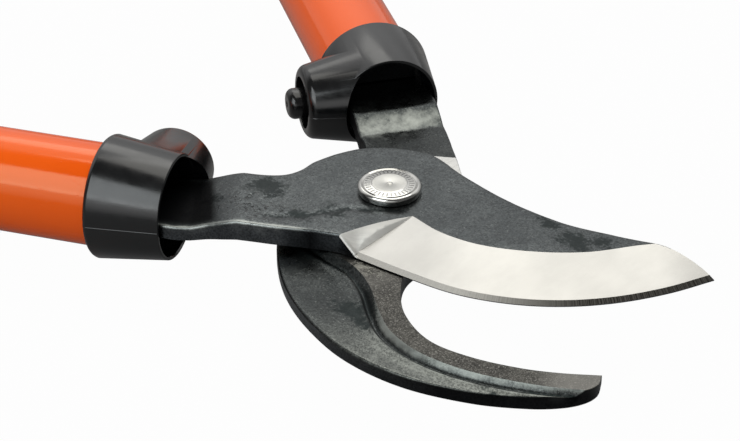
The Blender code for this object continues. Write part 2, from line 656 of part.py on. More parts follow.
def build_lopper():
    clear_scene()
    mats = {
        "forged": material("forged_steel", (0.085, 0.095, 0.10), 0.45, 0.8),
        "hook": material("forged_hook_steel", (0.10, 0.10, 0.095), 0.5, 0.8),
        "plated": material("plated_steel", (0.72, 0.71, 0.67), 0.2, 1.0),
        "steel": material("plain_steel", (0.45, 0.45, 0.45), 0.35, 1.0),
        "paint": material("orange_paint", (0.80, 0.13, 0.02), 0.25, 0.0),
        "plastic": material("black_plastic", (0.012, 0.013, 0.014), 0.35, 0.0),
        "nylon": material("black_nylon", (0.02, 0.02, 0.02), 0.5, 0.0),
        "rubber": material("black_rubber", (0.01, 0.01, 0.01), 0.4, 0.0),
        "vinyl": material("black_vinyl", (0.018, 0.018, 0.018), 0.5, 0.0),
    }
    counter_side = add_object("counter_side", None, None)
    cutting_side = add_object("cutting_side", None, None)
    for pivot in (counter_side, cutting_side):
        pivot.location.z = SHEAR_HEIGHT
    cutting = build_cutting_blade(cutting_side, mats["forged"])
    counter = build_counter_blade(counter_side, mats["hook"])
    build_bolt(counter_side, mats["plated"])
    build_washer(counter_side, mats["steel"])
    build_nut(counter_side, mats["steel"])
    build_handle(-1, "right", cutting, cutting_side, mats)
    build_handle(1, "left", counter, counter_side, mats)


build_lopper()
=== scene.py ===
from math import atan, cos, degrees, pi, radians, sin

import bmesh
import bpy
import numpy as np
from mathutils import Matrix, Vector, noise
from mathutils.geometry import delaunay_2d_cdt, interpolate_bezier


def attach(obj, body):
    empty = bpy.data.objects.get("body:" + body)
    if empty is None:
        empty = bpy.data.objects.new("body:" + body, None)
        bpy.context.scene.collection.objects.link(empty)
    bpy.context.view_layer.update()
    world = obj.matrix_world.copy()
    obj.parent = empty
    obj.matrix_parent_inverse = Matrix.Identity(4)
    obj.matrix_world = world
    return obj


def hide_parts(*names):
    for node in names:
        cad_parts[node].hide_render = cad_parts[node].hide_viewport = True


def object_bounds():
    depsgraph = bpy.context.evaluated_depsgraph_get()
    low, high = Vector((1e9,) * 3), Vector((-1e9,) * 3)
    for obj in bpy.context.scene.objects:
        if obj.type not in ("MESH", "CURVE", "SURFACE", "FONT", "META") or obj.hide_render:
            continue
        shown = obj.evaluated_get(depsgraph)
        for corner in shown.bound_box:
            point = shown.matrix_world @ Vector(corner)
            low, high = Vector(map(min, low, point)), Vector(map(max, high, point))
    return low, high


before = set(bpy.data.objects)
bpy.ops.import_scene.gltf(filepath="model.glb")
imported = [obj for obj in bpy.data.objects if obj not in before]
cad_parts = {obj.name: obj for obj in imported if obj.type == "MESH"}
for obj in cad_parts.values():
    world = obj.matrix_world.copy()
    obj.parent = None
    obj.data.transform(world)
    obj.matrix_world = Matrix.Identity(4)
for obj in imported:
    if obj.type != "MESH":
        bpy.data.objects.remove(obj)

cad_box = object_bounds()

MM = 0.001
SHEAR_HEIGHT = 18.25           # height of the plane in which the blades pass each other
HALF_GAP = 0.15                # from that plane to each blade
PLATE = 6.0                    # thickness of both blades
TOP = HALF_GAP + PLATE
HOLE_RADIUS = 5.3
COUNTER, CUTTING = 1, -1       # the counter blade's side is +Y
CLEARANCE = 0.3                # of pieces that sit in one another

HANDLE_ANGLE = radians(29.06)  # from the middle line to each handle
TUBE_OFFSET = 16.1             # of each tube's axis, away from the other handle
TUBE_RADIUS = 15.0
TUBE_BORE = 13.8
TUBE_START = 71.0
TUBE_END = 659.0

TANG_HALF_WIDTH = 13.2
TANG_TAIL_HALF_WIDTH = 11.0
TANG_STATIONS = (62.0, 67.0, 112.0)    # end of the wide stretch, start and end of the tail
JOGGLE_RISE = 3.15
# Each tang's step: first and last station, lean of its lines and share that is straight
JOGGLES = {CUTTING: (39.0, 53.3, 0.26, 0.55), COUNTER: (43.0, 51.0, 0.0, 0.95)}
TAIL_THINNING = (1.25, 0.6)    # the cutting blade's tang is drawn thinner past its step, top and bottom

# Blade outlines seen from above. The tangs' stretches are along and across their handle.
CUTTING_NECK = [(54.3, -2.2), (45.0, -1.8), (37.0, -1.2), (31.5, 0.5), (27.9, 4.4), (25.6, 9.8)]
CUTTING_BACK = [(-25.7, 5.0), (-22.2, 12.9), (-15.3, 19.4), (-5.8, 23.4), (8.0, 21.7),
                (26.2, 20.8), (44.5, 22.9), (59.4, 28.3), (70.7, 33.7), (77.0, 36.0), (83.0, 37.2),
                (87.6, 37.4)]
CUTTING_EDGE = [(87.6, 37.4), (83.0, 23.4), (76.0, 9.6), (67.1, -1.9), (56.2, -11.1),
                (42.9, -18.0), (26.5, -22.0), (11.5, -24.7)]
CUTTING_HEEL = [(6.4, -26.0), (0.3, -29.7), (-9.6, -36.5)]
CUTTING_TANG = [(30.0, -27.44), (39.0, -27.9), (46.0, -27.6), (54.0, -29.2)]
GRIND_TOP = [(14.0, -4.7), (25.1, -5.1), (37.3, -1.9), (49.8, 6.1), (60.1, 16.4), (67.5, 28.8),
             (70.7, 33.7), (74.0, 39.6), (77.0, 46.0)]
PLUNGE_LINE = [(14.0, -4.7), (12.2, -8.2), (10.3, -12.6), (8.9, -16.6), (7.8, -20.6), (7.1, -23.9),
               (6.6, -26.1)]
EDGE_LAND = 0.25               # thickness left at the honed edge
HONED_WIDTH = 1.6
HONED_HEIGHT = 1.15
PIT_DEPTH = 0.12
FOLD_DEPTH = 0.22
BOLT_SEAT = 11.0               # the forging is smooth as far as this round the bolt

COUNTER_NECK = [(54.0, -2.8), (44.0, -2.6), (36.6, -2.5), (30.0, 0.5)]
COUNTER_BACK = [(-23.0, 4.0), (-24.0, -6.0), (-21.0, -17.0), (-15.7, -28.0), (-6.9, -37.0),
                (6.2, -45.9), (21.2, -51.8), (38.5, -54.7), (57.1, -52.4), (74.7, -44.7),
                (87.2, -35.8), (93.4, -29.6), (96.3, -24.8), (96.9, -20.8), (94.9, -17.1)]
COUNTER_ANVIL = [(94.9, -17.1), (86.7, -24.0), (78.0, -29.8), (65.6, -35.4), (53.3, -37.7),
                 (40.8, -34.0), (32.1, -27.2), (25.6, -18.5), (24.0, -8.0), (25.0, 2.0), (22.6, 13.6),
                 (14.0, 22.0), (2.0, 28.4)]
COUNTER_TANG = [(13.6, -25.7), (24.0, -27.1), (38.0, -28.6), (54.0, -29.4)]
HUB_RADIUS = 24.5
GROUND_LIMIT = 36.0            # the cutting blade's underside is ground flat as far as this
POLISH_LIMIT = 32.0            # the counter blade's hub is ground bright as far as this, towards its tang
POLISH_DIRECTION = (-0.604, 0.797)
STRIP_LINE = [(-22.0, -17.0), (-9.0, -25.8), (3.0, -27.2), (14.0, -27.4), (24.0, -31.1),
              (33.8, -37.3), (43.0, -41.9), (55.3, -43.4), (70.1, -40.1), (86.7, -31.8),
              (100.0, -22.0)]
# Down the step from the anvil strip: distance and depth of the valley at each station
VALLEY = [(2.0, 1.6), (2.0, 1.6), (2.0, 1.6), (1.8, 1.7), (2.0, 2.2), (2.1, 2.4),
          (1.7, 2.0), (1.6, 1.8), (1.5, 1.7), (1.2, 1.6), (0.9, 1.5)]
STEP_LINES = (0.0, 1.0, 1.6, 2.0, 2.5, 3.0, 3.5, 5.3)   # lines down the step that the mesh follows
# Beyond the valley: where its floor ends, the ridge stands and the outer land starts, and how deep
# the ridge and the land lie
VALLEY_FLOOR = 0.5
RIDGE_DISTANCE = 1.5
RIDGE_DEPTH = 1.1
LAND_DISTANCE = 3.3
LAND_DEPTH = 1.6
CREST_RIM = 0.12               # rounding of the hook's edge along the anvil
BLUNT_RIM = 0.6                # how much more its outer edge and the tang are rounded
TIP_RISE = 2.7                 # how far the hook's underside rises at its tip
TIP_REACH = 10.0               # how fast that fades back from the tip

RIM = 0.8                      # rounding of the forged edges
RIM_LOOPS = (0.08, 0.25, 0.5, 0.8)     # distances from the outline of the loops that carry it
GRAIN = 1.0                    # spacing of the points inside a blade's outline
MERGE = 0.0001                 # points closer than this become one
HOLE_STEPS, HUB_STEPS = 64, 150
SLIVER = 0.001                 # shorter edges come out of the turned pieces after the booleans

# Natural marks of the forgings: place, spread and strength
CUTTING_SMOKE = [((54.0, 18.0), (6.5, 4.0), 1.0), ((59.5, 23.0), (4.0, 4.0), 0.9),
                 ((42.0, 20.0), (8.0, 2.4), 0.8), ((-26.0, -23.0), (5.5, 5.0), 0.9),
                 ((-33.0, -36.0), (6.0, 3.0), 0.4), ((-4.0, -19.0), (4.0, 3.0), 0.75),
                 ((-9.0, -27.0), (4.0, 3.0), 0.8)]
CUTTING_PITS = [((-22.0, -33.0), (9.0, 5.5), 1.0), ((-13.0, -29.5), (4.5, 3.5), 0.9)]
FOLD = [(-14.5, -33.5), (-11.0, -30.5), (-7.0, -26.5), (-4.5, -20.5), (-1.8, -15.2), (4.0, -10.0),
        (9.5, -4.5)]
COUNTER_SMOKE = [((27.0, -41.5), (8.5, 3.2), 1.0), ((34.5, -43.5), (4.0, 2.2), 0.9),
                 ((79.0, -41.2), (5.0, 0.9), 0.6), ((-4.0, -30.0), (8.0, 3.0), 1.0)]
COUNTER_SCALE = [((17.0, -25.6), (5.0, 2.4), 1.0)]


# Small geometry

def part_way(values, low, high):
    return np.clip((values - low) / (high - low), 0, 1)


def eased(share):
    return share ** 2 * (3 - 2 * share)


def bell(values, middle, spread, power=2):
    return np.exp(-((values - middle) / spread) ** power)


def smooth(points, step=1.0):
    """Points along a smooth curve through the given ones, about one step apart."""
    knots = [Vector(p) for p in points]
    last = len(knots) - 1
    tangents = [(knots[min(i + 1, last)] - knots[max(i - 1, 0)]).normalized() for i in range(last + 1)]
    path = [knots[0]]
    for i in range(last):
        chord = (knots[i + 1] - knots[i]).length
        count = max(2, round(chord / step) + 1)
        path += interpolate_bezier(knots[i], knots[i] + tangents[i] * chord / 3,
                                   knots[i + 1] - tangents[i + 1] * chord / 3, knots[i + 1], count)[1:]
    return path


def inset(path, width, closed=False):
    """A line beside a path, to the left of its run."""
    last = len(path) - 1
    result = []
    for i, point in enumerate(path):
        before = path[i - 1] if closed or i else path[0]
        after = path[(i + 1) % (last + 1)] if closed or i < last else path[last]
        run = (after - before).normalized()
        result.append(point + Vector((-run.y, run.x)) * width)
    return result


def handle_axes(side):
    """Unit vectors along a handle away from the pivot, and across it to the other handle."""
    return (Vector((-cos(HANDLE_ANGLE), side * sin(HANDLE_ANGLE))),
            Vector((-sin(HANDLE_ANGLE), -side * cos(HANDLE_ANGLE))))


def on_handle(side, points):
    outward, inward = handle_axes(side)
    return [outward * s + inward * t for s, t in points]


def station_of(points, side):
    return points @ np.array(handle_axes(side)[0])


def station_across(points, side):
    return points @ np.array(handle_axes(side)[1])


def tang_tail(side):
    shoulder, tail, end = TANG_STATIONS
    rim = [(shoulder, -TANG_HALF_WIDTH), (tail, -TANG_TAIL_HALF_WIDTH), (end, -TANG_TAIL_HALF_WIDTH),
           (end, TANG_TAIL_HALF_WIDTH), (tail, TANG_TAIL_HALF_WIDTH), (shoulder, TANG_HALF_WIDTH)]
    return on_handle(side, [(s, t - TUBE_OFFSET) for s, t in rim])


def measure(points, line):
    """Each point's distance from a line, the length along it, and its side (+1 to the left)."""
    line = np.array(line)
    start, run = line[:-1], np.diff(line, axis=0)
    size = np.hypot(*run.T)
    away = points[:, None] - start
    share = np.clip((away * run).sum(2) / size ** 2, 0, 1)
    distance = np.linalg.norm(away - share[..., None] * run, axis=2)
    near = distance.argmin(1)
    row = np.arange(len(points))
    turn = run[near, 0] * away[row, near, 1] - run[near, 1] * away[row, near, 0]
    along = np.append(0, np.cumsum(size))[near] + share[row, near] * size[near]
    return distance[row, near], along, np.where(turn < 0, -1, 1)


def inside(points, polygon):
    a = np.array(polygon)
    b = np.roll(a, -1, axis=0)
    x, y = points[:, :1], points[:, 1:]
    spans = (a[:, 1] > y) != (b[:, 1] > y)
    climb = np.where(b[:, 1] == a[:, 1], 1, b[:, 1] - a[:, 1])
    crossing = a[:, 0] + (b[:, 0] - a[:, 0]) * (y - a[:, 1]) / climb
    return (spans & (x < crossing)).sum(1) % 2 == 1


def ring(radius, count):
    return [Vector((radius * cos(2 * pi * i / count), radius * sin(2 * pi * i / count)))
            for i in range(count)]


def across_line(direction, distance, side):
    """A straight line square to a direction from the pivot, at a distance, with points 1 mm apart."""
    return [direction * distance + side * t for t in range(-40, 41)]


def fill(outline, loops, lines):
    """Triangles inside an outline that keep the loops and lines as edges."""
    points, edges = [], []
    for path in [outline] + loops:
        first = len(points)
        points += path
        edges += [(first + i, first + (i + 1) % len(path)) for i in range(len(path))]
    for path in lines:
        first = len(points)
        points += path
        edges += [(first + i, first + i + 1) for i in range(len(path) - 1)]

    # A grid of near-equilateral triangles, kept off the lines
    corners = np.array(outline)
    low, high = corners.min(0), corners.max(0)
    rows = np.arange(low[1], high[1], GRAIN * 0.866)
    columns = np.arange(low[0], high[0], GRAIN)
    grid = np.array([(x + GRAIN / 2 * (j % 2), y) for j, y in enumerate(rows) for x in columns])
    grid = grid[inside(grid, outline)]
    for path in [outline + outline[:1]] + [loop + loop[:1] for loop in loops] + lines:
        grid = grid[measure(grid, path)[0] > 0.55 * GRAIN]
    points += [Vector(p) for p in grid]
    found, _, faces = delaunay_2d_cdt(points, edges, [], 1, MERGE)[:3]
    flat = np.array(found)
    faces = np.array([face for face in faces if len(face) == 3])
    middle = flat[faces].mean(1)
    faces = faces[inside(middle, outline) & (np.hypot(*middle.T) > HOLE_RADIUS * 0.999)]
    used, faces = np.unique(faces, return_inverse=True)
    faces = faces.reshape(-1, 3)
    flat = flat[used]
    a, b, c = (flat[faces[:, k]] for k in range(3))
    turn = (b[:, 0] - a[:, 0]) * (c[:, 1] - a[:, 1]) - (b[:, 1] - a[:, 1]) * (c[:, 0] - a[:, 0])
    faces[turn < 0] = faces[turn < 0][:, ::-1]
    return flat, faces


def forging(name, flat, faces, top, bottom, zones, marks, mats):
    """A closed plate from one triangulation. zones give the material slots of the top, the
    underside and the wall. marks are named values for the materials to read: on the top alone,
    but the painted shade on the underside too."""
    count = len(flat)
    verts = np.vstack([np.column_stack([flat, top]), np.column_stack([flat, bottom])])
    rims = {}
    for face in faces.tolist():
        for i in range(3):
            a, b = face[i], face[(i + 1) % 3]
            if (b, a) in rims:
                del rims[b, a]
            else:
                rims[a, b] = True
    walls = [(a, a + count, b + count, b) for a, b in rims]
    polygons = faces.tolist() + (faces[:, ::-1] + count).tolist() + walls
    mesh = bpy.data.meshes.new(name)
    verts[:, 2] += SHEAR_HEIGHT
    mesh.from_pydata((verts * MM).tolist(), [], polygons)
    for mat in mats:
        mesh.materials.append(mat)
    slots = np.concatenate([zones["top"], zones["under"], np.full(len(walls), zones["wall"])])
    mesh.polygons.foreach_set("material_index", slots.astype(np.int32))
    mesh.shade_smooth()
    owner = {}
    for polygon in mesh.polygons:
        for key in polygon.edge_keys:
            owner.setdefault(key, []).append(polygon)
    sharp = []
    for edge in mesh.edges:
        pair = owner[tuple(sorted(edge.vertices))]
        under = [p.index >= len(faces) and p.index < 2 * len(faces) for p in pair]
        sharp.append(pair[0].material_index != pair[1].material_index or under[0] != under[1])
    attribute = mesh.attributes.new("sharp_edge", 'BOOLEAN', 'EDGE')
    attribute.data.foreach_set("value", sharp)
    for key, values in marks.items():
        mark = mesh.attributes.new(key, 'FLOAT', 'POINT')
        # Only the painted shade mark goes on the underside as well
        below = values if key == "painted_shade" else 0 * values
        mark.data.foreach_set("value", np.append(values, below).astype(np.float32))
    obj = bpy.data.objects.new(name, mesh)
    bpy.context.scene.collection.objects.link(obj)
    return obj


def spots(points, places):
    """How strongly each point lies in soft-edged spots, 0 to 1."""
    result = np.zeros(len(points))
    for middle, spread, strength in places:
        reach = (((points - middle) / spread) ** 2).sum(1)
        result = np.maximum(result, strength * np.exp(-reach))
    return result


def waves(points, size, seed):
    """Smooth noise about -1 to 1 with features of a size in millimetres."""
    return np.array([noise.noise(Vector((x / size, y / size, seed))) for x, y in points])


def round_off(distance, radius):
    """How far a rounded rim lies below its face."""
    radius = np.broadcast_to(radius, distance.shape)
    reach = np.clip(radius - distance, 0, radius)
    return radius - np.sqrt(radius ** 2 - reach ** 2)


def joggle(points, side):
    """The step of a tang towards its tube's axis, up for the counter blade and down for the other."""
    start, end, lean, straight = JOGGLES[side]
    outward, inward = (np.array(axis) for axis in handle_axes(side))
    station = points @ (outward - inward * lean) - lean * TUBE_OFFSET
    share = part_way(station, start, end)
    return side * JOGGLE_RISE * (straight * share + (1 - straight) * eased(share))


# Materials

class Nodes:
    """A node tree written as expressions."""

    def __init__(self, tree):
        self.tree = tree

    def node(self, kind, output, inputs, **settings):
        node = self.tree.nodes.new(kind)
        for key, value in settings.items():
            setattr(node, key, value)
        for socket, value in inputs.items():
            self.join(node.inputs[socket], value)
        return node.outputs[output]

    def join(self, socket, value):
        if isinstance(value, bpy.types.NodeSocket):
            self.tree.links.new(value, socket)
        elif isinstance(value, tuple) and len(value) == 3 and socket.type == 'RGBA':
            socket.default_value = (*value, 1)
        else:
            socket.default_value = value

    def axis(self, vector, index):
        return self.node("ShaderNodeSeparateXYZ", index, {0: vector})

    def ramp(self, value, low, high, to_low=0.0, to_high=1.0):
        return self.node("ShaderNodeMapRange", "Result",
                         {"Value": value, "From Min": low, "From Max": high, "To Min": to_low,
                          "To Max": to_high}, interpolation_type='SMOOTHSTEP')

    def math(self, operation, a, b=0.0):
        return self.node("ShaderNodeMath", "Value", {0: a, 1: b}, operation=operation)

    def times(self, *values):
        result = values[0]
        for value in values[1:]:
            result = self.math('MULTIPLY', result, value)
        return result

    def plus(self, a, b):
        return self.math('ADD', a, b)

    def mix(self, share, a, b):
        return self.node("ShaderNodeMix", 2, {0: share, 6: a, 7: b}, data_type='RGBA')


class Surface(Nodes):
    """A Principled material in the object's own coordinates, or in a mark's."""

    def __init__(self, name, metallic=0.0, place=None):
        self.material = bpy.data.materials.new(name)
        self.material.use_nodes = True
        super().__init__(self.material.node_tree)
        self.shader = self.tree.nodes["Principled BSDF"]
        self.set("Metallic", metallic)
        if place:
            self.place = self.node("ShaderNodeAttribute", "Vector", {}, attribute_name=place)
        else:
            self.place = self.tree.nodes.new("ShaderNodeTexCoord").outputs["Object"]

    def set(self, socket, value):
        self.join(self.shader.inputs[socket], value)

    def stretched(self, x, y, z):
        return self.node("ShaderNodeMapping", "Vector", {"Vector": self.place, "Scale": (x, y, z)})

    def noise(self, scale, detail=2.0, roughness=0.5, place=None):
        return self.node("ShaderNodeTexNoise", "Fac", {"Vector": place or self.place, "Scale": scale,
                                                       "Detail": detail, "Roughness": roughness})

    def mark(self, name):
        return self.node("ShaderNodeAttribute", "Fac", {}, attribute_name=name)

    def bump(self, height, depth, under=None):
        """A bump of a depth in millimetres over the height's 0 to 1."""
        inputs = {"Height": height, "Distance": depth * MM}
        if under:
            inputs["Normal"] = under
        return self.node("ShaderNodeBump", "Normal", inputs)


def scaled(colour, factor):
    return tuple(factor * c for c in colour)


def forged_steel(name, dark, light, wear_and_highlight, speck, relief=0.05):
    """Black forging scale: cloudy, grainy and specked, with the marks pale, pitted, dark patches with
    painted shade, wear with painted highlights, and painted shade."""
    s = Surface(name, 1.0)
    cloud = s.noise(70, 4, 0.6)
    patch = s.noise(300, 4, 0.65)
    grain = s.noise(1500, 3, 0.6)
    speckle = s.noise(900, 3, 0.7)
    uneven = s.plus(s.plus(cloud, patch), -1.0)
    colour = s.mix(s.ramp(cloud, 0.35, 0.68), dark, light)
    colour = s.mix(s.mark("pale"), colour, scaled(wear_and_highlight, 0.42))
    colour = s.mix(s.times(s.ramp(speckle, 0.35, 0.6), 0.35), colour, scaled(dark, 0.55))
    sand = s.noise(1900, 2, 0.6)
    colour = s.mix(s.times(s.ramp(sand, 0.45, 0.6), 0.55), colour, scaled(dark, 0.3))
    # Wear and painted highlights: this mark brightens the scale towards the pale colour
    edge = s.plus(s.mark("wear_and_highlight"), s.times(uneven, 0.8))
    rubbed_and_lit = s.times(s.ramp(edge, 0.15, 0.85), s.ramp(s.mark("wear_and_highlight"), 0.0, 0.15))
    colour = s.mix(rubbed_and_lit, colour, wear_and_highlight)
    colour = s.mix(s.times(s.ramp(grain, 0.56, 0.72), speck), colour, wear_and_highlight)
    pits = s.times(s.ramp(s.noise(800, 2), 0.56, 0.66), s.mark("pitted"))
    colour = s.mix(s.times(pits, 0.85), colour, (0.01, 0.01, 0.01))
    # Dark patches of scale, and painted shade in the fold, the valley's groove and its pocket
    dark_and_shaded = s.plus(s.mark("dark_patches_and_shade"), s.plus(s.times(uneven, 1.5), s.times(s.plus(speckle, -0.5), 1.6)))
    dark_and_shaded = s.times(s.ramp(dark_and_shaded, 0.15, 0.75), s.ramp(s.mark("dark_patches_and_shade"), 0.0, 0.2))
    colour = s.mix(s.times(dark_and_shaded, 0.9), colour, (0.012, 0.016, 0.016))
    # Painted shade: this mark takes the colour nearly to black and makes it rougher
    colour = s.mix(s.mark("painted_shade"), colour, (0.002, 0.002, 0.0025))
    s.set("Base Color", colour)
    s.set("Roughness", s.plus(s.ramp(patch, 0.3, 0.7, 0.24, 0.36),
                              s.plus(s.times(s.math('MAXIMUM', rubbed_and_lit, dark_and_shaded), 0.12),
                                     s.times(s.mark("painted_shade"), 0.3))))
    rough = s.bump(s.noise(420, 5, 0.65), relief)
    lumps = s.times(s.ramp(s.noise(560, 3), 0.5, 0.7), s.mark("pitted"))
    rough = s.bump(s.plus(lumps, s.times(pits, -1.0)), 0.16, rough)
    s.set("Normal", s.bump(grain, 0.3 * relief, rough))
    return s.material


def ground_steel(name, colour, roughness, lines_scale, depth=0.004, shade=0.12, turn=0.0, painted_dim=None):
    """Bright ground steel with fine lines of grinding. The last argument paints shade that dims it along Y,
    as (start, end, share).
    """
    s = Surface(name, 1.0)
    turned_place = s.node("ShaderNodeMapping", "Vector",
                          {"Vector": s.place, "Rotation": (0, 0, radians(turn))})
    place = s.node("ShaderNodeMapping", "Vector", {"Vector": turned_place, "Scale": lines_scale})
    lines = s.noise(1, 4, 0.7, place)
    cloud = s.noise(60, 3)
    finish = s.mix(s.ramp(lines, 0.35, 0.65), scaled(colour, 1 - shade), colour)
    # Painted shade: the colour dims along Y over the given span
    if painted_dim:
        start, end, share = painted_dim
        height = s.axis(s.place, 1)
        finish = s.mix(s.ramp(height, start * MM, end * MM), finish, scaled(colour, share))
    s.set("Base Color", finish)
    s.set("Roughness", s.ramp(cloud, 0.3, 0.7, roughness - 0.03, roughness + 0.04))
    s.set("Normal", s.bump(lines, depth))
    return s.material


def honed_edge():
    """Honed edge: crossed by fine lines, with a painted reflection, pale at the heel and dark towards the
    blade's tip.
    """
    s = Surface("honed_edge", 1.0)
    s.set("Roughness", 0.5)
    across = s.node("ShaderNodeTexNoise", "Fac", {"W": s.mark("run"), "Scale": 2.2, "Detail": 1.0},
                    noise_dimensions='1D')
    # Painted reflection: the colour goes from pale at the heel to nearly black towards the tip
    along = s.ramp(s.mark("run"), 26.0, 70.0)
    colour = s.mix(along, (0.42, 0.41, 0.385), (0.021, 0.020, 0.018))
    lines = s.times(s.ramp(across, 0.4, 0.6), s.ramp(along, 0.0, 0.5, 0.1, 0.4))
    s.set("Base Color", s.mix(lines, colour, (0.13, 0.125, 0.115)))
    s.set("Normal", s.bump(across, 0.03))
    return s.material


def anvil_strip():
    """Sanded top of the anvil: brownish, coarse-grained and speckled."""
    s = Surface("anvil_strip", 1.0)
    s.set("Roughness", 0.42)
    grain = s.noise(2400, 3, 0.75)
    cloud = s.noise(180, 4, 0.65)
    colour = s.mix(s.ramp(cloud, 0.35, 0.65), (0.023, 0.022, 0.020), (0.046, 0.0445, 0.0395))
    ends = s.plus(s.times(s.ramp(s.mark("run"), 0.85, 0.93), 0.65),
                  s.ramp(s.mark("run"), 0.42, 0.34, 0.0, 0.2))
    colour = s.mix(ends, colour, (0.15, 0.145, 0.135))
    colour = s.mix(s.ramp(grain, 0.48, 0.72), colour, (0.19, 0.185, 0.17))
    lumps = s.times(s.ramp(s.noise(420, 3), 0.42, 0.6), s.mark("pitted"))
    s.set("Base Color", s.mix(lumps, colour, (0.16, 0.158, 0.14)))
    s.set("Normal", s.bump(grain, 0.03, s.bump(s.plus(cloud, s.times(lumps, 6.0)), 0.05)))
    return s.material


def plated_head():
    """Plated bolt head: soft satin disc, a band of short strokes and a polished rim."""
    s = Surface("plated_bolt", 1.0)
    x, y = s.axis(s.place, 0), s.axis(s.place, 1)
    radius = s.math('SQRT', s.plus(s.times(x, x), s.times(y, y)))
    strokes = s.ramp(s.math('SINE', s.times(s.math('ARCTAN2', y, x), 34.0)), 0.25, 0.75)
    band = s.times(s.ramp(radius, 5.5 * MM, 5.7 * MM), s.ramp(radius, 7.2 * MM, 7.0 * MM))
    cut = s.times(strokes, band)
    disc = s.ramp(radius, 5.1 * MM, 4.9 * MM)
    grain = s.noise(1400, 3, 0.7)
    colour = s.mix(s.times(cut, 0.6), (0.46, 0.456, 0.435), (0.10, 0.10, 0.095))
    colour = s.mix(s.times(disc, s.ramp(grain, 0.3, 0.7)), colour, (0.43, 0.426, 0.40))
    s.set("Base Color", colour)
    s.set("Roughness", s.ramp(s.plus(disc, s.times(band, 0.4)), 0.0, 1.0, 0.13, 0.40))
    s.set("Normal", s.bump(s.plus(s.times(grain, 0.12), s.times(cut, -1.0)), 0.08))
    return s.material


def zinc_steel():
    """Cloudy zinc on the nut, washer and pins."""
    s = Surface("zinc_steel", 1.0)
    s.set("Base Color", s.mix(s.ramp(s.noise(500, 4, 0.6), 0.35, 0.65), (0.48, 0.48, 0.47),
                              (0.68, 0.68, 0.66)))
    s.set("Roughness", s.ramp(s.noise(900, 3), 0.3, 0.7, 0.25, 0.42))
    return s.material


def orange_paint():
    """Glossy paint on the tubes: a little cloudy, with orange peel, dust nibs and fine rubs."""
    s = Surface("orange_paint", place="local")
    cloud = s.noise(18, 3)
    rubs = s.noise(1, 4, 0.7, s.stretched(900, 900, 22))
    colour = s.mix(s.ramp(cloud, 0.3, 0.7), (0.74, 0.085, 0.002), (0.785, 0.097, 0.004))
    s.set("Base Color", s.mix(s.times(s.ramp(rubs, 0.6, 0.8), 0.12), colour, (0.82, 0.16, 0.03)))
    s.set("Roughness", s.ramp(cloud, 0.3, 0.7, 0.11, 0.16))
    s.set("Specular Tint", (1.0, 0.94, 0.64))
    s.set("Normal", s.bump(s.noise(260, 2), 0.012, s.bump(s.ramp(s.noise(650, 1), 0.74, 0.8), 0.03)))
    return s.material


def moulded(name, colour, roughness, streak, grain_depth, parting=True, specular=0.5, place="local"):
    """Moulded plastic or rubber with faint draw streaks along the tube and a parting line."""
    s = Surface(name, place=place)
    s.set("Specular IOR Level", specular)
    streaks = s.noise(1, 4, 0.6, s.stretched(1500, 1500, 60))
    light = tuple(c * 1.8 + 0.001 for c in colour)
    s.set("Base Color", s.mix(s.times(s.ramp(streaks, 0.45, 0.8), 0.7), colour, light))
    s.set("Roughness", s.ramp(s.noise(120, 4, 0.65), 0.3, 0.7, roughness - 0.04, roughness + 0.06))
    normal = s.bump(s.noise(2400, 3, 0.6), grain_depth, s.bump(streaks, streak))
    if parting:
        height = s.math('ABSOLUTE', s.axis(s.place, 1))
        normal = s.bump(s.ramp(height, 0.28 * MM, 0.05 * MM), 0.12, normal)
    s.set("Normal", normal)
    return s.material


# Blades

